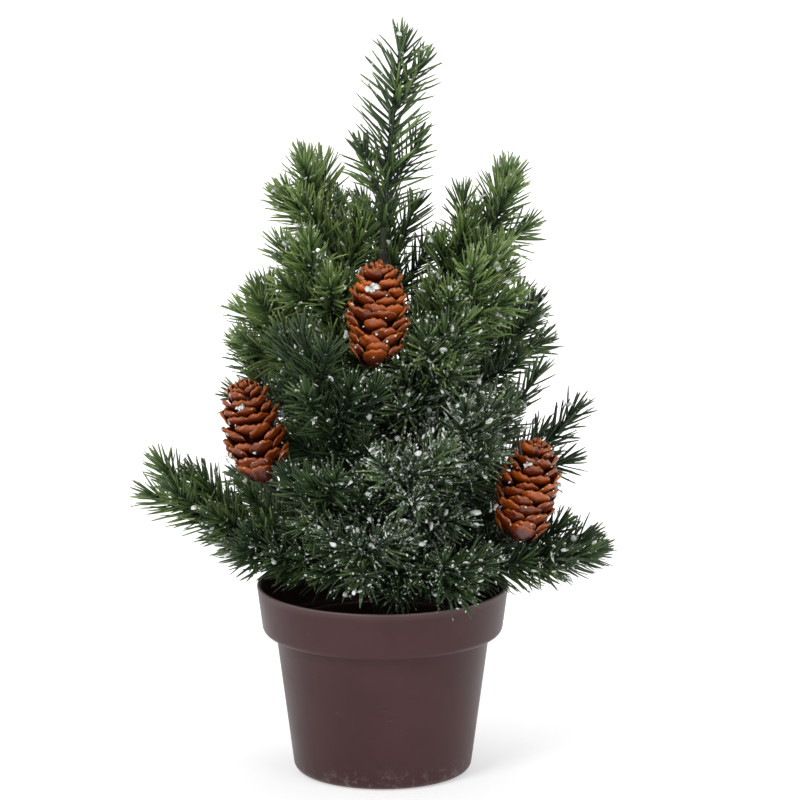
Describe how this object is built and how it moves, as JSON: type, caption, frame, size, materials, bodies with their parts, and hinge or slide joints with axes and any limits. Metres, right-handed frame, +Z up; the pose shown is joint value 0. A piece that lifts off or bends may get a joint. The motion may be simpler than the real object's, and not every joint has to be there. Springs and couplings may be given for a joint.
{
  "type": "artificial tabletop tree",
  "caption": "Small artificial fir with bendable wire branches, moulded needle sprigs and pine cones on wires, in a weighted round plastic pot.",
  "frame": {"origin": "centre of the pot's flat underside", "axes": "+Z up along the trunk; -Y is the side seen from the front; +X to the viewer's right"},
  "size_m": [0.1998, 0.1408, 0.3311],
  "materials": {
    "pot_plastic": "satin, dark aubergine brown",
    "plaster": "rough cast",
    "steel_rod": "drawn",
    "trunk_tape": "waxed paper tape, spiral wrapped",
    "wire_tape": "waxed paper tape on steel wire",
    "needle_plastic": "moulded, partly frosted with white flakes",
    "cone_plastic": "glossy moulded, flecked with white"
  },
  "bodies": {
    "stand": {"pot_shell": "pot_plastic", "plaster_ballast": "plaster", "trunk_rod": "steel_rod", "trunk_tape_sleeve": "trunk_tape"},
    "branch_top_left": {"wire_top_left": "wire_tape", "sprig_top_left": "needle_plastic"},
    "branch_top_right": {"wire_top_right": "wire_tape", "sprig_top_right": "needle_plastic"},
    "branch_top_back": {"wire_top_back": "wire_tape", "sprig_top_back": "needle_plastic"},
    "branch_crown_front_left": {"wire_crown_front_left": "wire_tape", "sprig_crown_front_left": "needle_plastic"},
    "branch_crown_front_right": {"wire_crown_front_right": "wire_tape", "sprig_crown_front_right": "needle_plastic"},
    "branch_upper_left": {"wire_upper_left": "wire_tape", "sprig_upper_left": "needle_plastic"},
    "branch_upper_right": {"wire_upper_right": "wire_tape", "sprig_upper_right": "needle_plastic"},
    "branch_upper_front": {"wire_upper_front": "wire_tape", "sprig_upper_front": "needle_plastic"},
    "branch_upper_back_right": {"wire_upper_back_right": "wire_tape", "sprig_upper_back_right": "needle_plastic"},
    "branch_upper_back_left": {"wire_upper_back_left": "wire_tape", "sprig_upper_back_left": "needle_plastic"},
    "branch_middle_left": {"wire_middle_left": "wire_tape", "sprig_middle_left": "needle_plastic"},
    "branch_middle_right": {"wire_middle_right": "wire_tape", "sprig_middle_right": "needle_plastic"},
    "branch_middle_front_left": {"wire_middle_front_left": "wire_tape", "sprig_middle_front_left": "needle_plastic"},
    "branch_middle_front_right": {"wire_middle_front_right": "wire_tape", "sprig_middle_front_right": "needle_plastic"},
    "branch_middle_front": {"wire_middle_front": "wire_tape", "sprig_middle_front": "needle_plastic"},
    "branch_lower_right": {"wire_lower_right": "wire_tape", "sprig_lower_right": "needle_plastic"},
    "branch_lower_front_left": {"wire_lower_front_left": "wire_tape", "sprig_lower_front_left": "needle_plastic"},
    "branch_lower_front": {"wire_lower_front": "wire_tape", "sprig_lower_front": "needle_plastic"},
    "branch_lower_front_right": {"wire_lower_front_right": "wire_tape", "sprig_lower_front_right": "needle_plastic"},
    "branch_lower_back_right": {"wire_lower_back_right": "wire_tape", "sprig_lower_back_right": "needle_plastic"},
    "branch_lower_back_left": {"wire_lower_back_left": "wire_tape", "sprig_lower_back_left": "needle_plastic"},
    "branch_bottom_left": {"wire_bottom_left": "wire_tape", "sprig_bottom_left": "needle_plastic"},
    "branch_bottom_front_left": {"wire_bottom_front_left": "wire_tape", "sprig_bottom_front_left": "needle_plastic"},
    "branch_bottom_right": {"wire_bottom_right": "wire_tape", "sprig_bottom_right": "needle_plastic"},
    "cone_middle": {"cone_wire_middle": "wire_tape", "cone_middle": "cone_plastic"},
    "cone_left": {"cone_wire_left": "wire_tape", "cone_left": "cone_plastic"},
    "cone_right": {"cone_wire_right": "wire_tape", "cone_right": "cone_plastic"},
    "leader": {"leader_wire": "wire_tape", "leader_sprig": "needle_plastic"}
  },
  "joints": [
    {"name": "bend_branch_top_left", "type": "hinge", "parent": "stand", "child": "branch_top_left", "pos_m": [-0.00192, 0.00151, 0.18935], "axis": [0.342, 0.9397, 0], "range_deg": [-30, 8]},
    {"name": "bend_branch_top_right", "type": "hinge", "parent": "stand", "child": "branch_top_right", "pos_m": [0.00731, 0.00117, 0.18066], "axis": [0.2588, -0.9659, 0], "range_deg": [-18, 18]},
    {"name": "bend_branch_top_back", "type": "hinge", "parent": "stand", "child": "branch_top_back", "pos_m": [0.00329, 0.0046, 0.1732], "axis": [0.9994, 0.0349, 0], "range_deg": [-30, 16]},
    {"name": "bend_branch_crown_front_left", "type": "hinge", "parent": "stand", "child": "branch_crown_front_left", "pos_m": [-0.00044, -0.00218, 0.16947], "axis": [-0.4695, 0.8829, 0], "range_deg": [-30, 16]},
    {"name": "bend_branch_crown_front_right", "type": "hinge", "parent": "stand", "child": "branch_crown_front_right", "pos_m": [0.00808, -0.00214, 0.16326], "axis": [-0.454, -0.891, 0], "range_deg": [-30, 18]},
    {"name": "bend_branch_upper_left", "type": "hinge", "parent": "stand", "child": "branch_upper_left", "pos_m": [-0.00112, -0.00017, 0.14463], "axis": [-0.0349, 0.9994, 0], "range_deg": [-30, 10]},
    {"name": "bend_branch_upper_right", "type": "hinge", "parent": "stand", "child": "branch_upper_right", "pos_m": [0.00841, 0.00152, 0.14338], "axis": [0.309, -0.9511, 0], "range_deg": [-26, 12]},
    {"name": "bend_branch_upper_front", "type": "hinge", "parent": "stand", "child": "branch_upper_front", "pos_m": [0.00634, -0.00417, 0.14338], "axis": [-0.848, -0.5299, 0], "range_deg": [-16, 12]},
    {"name": "bend_branch_upper_back_right", "type": "hinge", "parent": "stand", "child": "branch_upper_back_right", "pos_m": [0.0059, 0.00421, 0.13344], "axis": [0.8387, -0.5446, 0], "range_deg": [-30, 30]},
    {"name": "bend_branch_upper_back_left", "type": "hinge", "parent": "stand", "child": "branch_upper_back_left", "pos_m": [-0.00004, 0.00473, 0.11978], "axis": [0.9135, 0.4067, 0], "range_deg": [-30, 30]},
    {"name": "bend_branch_middle_left", "type": "hinge", "parent": "stand", "child": "branch_middle_left", "pos_m": [-0.00218, 0.00183, 0.12599], "axis": [0.3584, 0.9336, 0], "range_deg": [-30, 16]},
    {"name": "bend_branch_middle_right", "type": "hinge", "parent": "stand", "child": "branch_middle_right", "pos_m": [0.00736, -0.00081, 0.12226], "axis": [-0.1564, -0.9877, 0], "range_deg": [-12, 20]},
    {"name": "bend_branch_middle_front_left", "type": "hinge", "parent": "stand", "child": "branch_middle_front_left", "pos_m": [-0.00109, -0.0042, 0.11853], "axis": [-0.809, 0.5878, 0], "range_deg": [-12, 6]},
    {"name": "bend_branch_middle_front_right", "type": "hinge", "parent": "stand", "child": "branch_middle_front_right", "pos_m": [0.00507, -0.00394, 0.11481], "axis": [-0.7547, -0.6561, 0], "range_deg": [-30, 10]},
    {"name": "bend_branch_middle_front", "type": "hinge", "parent": "stand", "child": "branch_middle_front", "pos_m": [0.00187, -0.00524, 0.10486], "axis": [-0.9816, -0.1908, 0], "range_deg": [-30, 30]},
    {"name": "bend_branch_lower_right", "type": "hinge", "parent": "stand", "child": "branch_lower_right", "pos_m": [0.00602, 0.00056, 0.10238], "axis": [0.1045, -0.9945, 0], "range_deg": [-30, 6]},
    {"name": "bend_branch_lower_front_left", "type": "hinge", "parent": "stand", "child": "branch_lower_front_left", "pos_m": [-0.00231, -0.00469, 0.09741], "axis": [-0.866, 0.5, 0], "range_deg": [-30, 10]},
    {"name": "bend_branch_lower_front", "type": "hinge", "parent": "stand", "child": "branch_lower_front", "pos_m": [-0.00071, -0.00541, 0.09145], "axis": [-0.9877, 0.1564, 0], "range_deg": [-24, 12]},
    {"name": "bend_branch_lower_front_right", "type": "hinge", "parent": "stand", "child": "branch_lower_front_right", "pos_m": [0.0029, -0.00472, 0.08846], "axis": [-0.8572, -0.515, 0], "range_deg": [-10, 28]},
    {"name": "bend_branch_lower_back_right", "type": "hinge", "parent": "stand", "child": "branch_lower_back_right", "pos_m": [0.00406, 0.00391, 0.09492], "axis": [0.7193, -0.6947, 0], "range_deg": [-22, 30]},
    {"name": "bend_branch_lower_back_left", "type": "hinge", "parent": "stand", "child": "branch_lower_back_left", "pos_m": [-0.00333, 0.00419, 0.09244], "axis": [0.766, 0.6428, 0], "range_deg": [-18, 30]},
    {"name": "bend_branch_bottom_left", "type": "hinge", "parent": "stand", "child": "branch_bottom_left", "pos_m": [-0.00528, -0.00076, 0.09145], "axis": [-0.1392, 0.9903, 0], "range_deg": [-16, 30]},
    {"name": "bend_branch_bottom_front_left", "type": "hinge", "parent": "stand", "child": "branch_bottom_front_left", "pos_m": [-0.00492, -0.00242, 0.08747], "axis": [-0.4384, 0.8988, 0], "range_deg": [-10, 4]},
    {"name": "bend_branch_bottom_right", "type": "hinge", "parent": "stand", "child": "branch_bottom_right", "pos_m": [0.00533, -0.00161, 0.08797], "axis": [-0.2924, -0.9563, 0], "range_deg": [-6, 6]},
    {"name": "bend_cone_middle", "type": "hinge", "parent": "stand", "child": "cone_middle", "pos_m": [0.00317, -0.0047, 0.15705], "axis": [-0.9848, 0.1736, 0], "range_deg": [-30, 12]},
    {"name": "bend_cone_left", "type": "hinge", "parent": "stand", "child": "cone_left", "pos_m": [-0.0033, -0.00272, 0.10984], "axis": [-0.515, 0.8572, 0], "range_deg": [-22, 12]},
    {"name": "bend_cone_right", "type": "hinge", "parent": "stand", "child": "cone_right", "pos_m": [0.00526, -0.00269, 0.10114], "axis": [-0.5, -0.866, 0], "range_deg": [-6, 12]},
    {"name": "bend_leader", "type": "hinge", "parent": "stand", "child": "leader", "pos_m": [0, 0, 0.23012], "axis": [0, 1, 0], "range_deg": [-18, 18]}
  ]
}
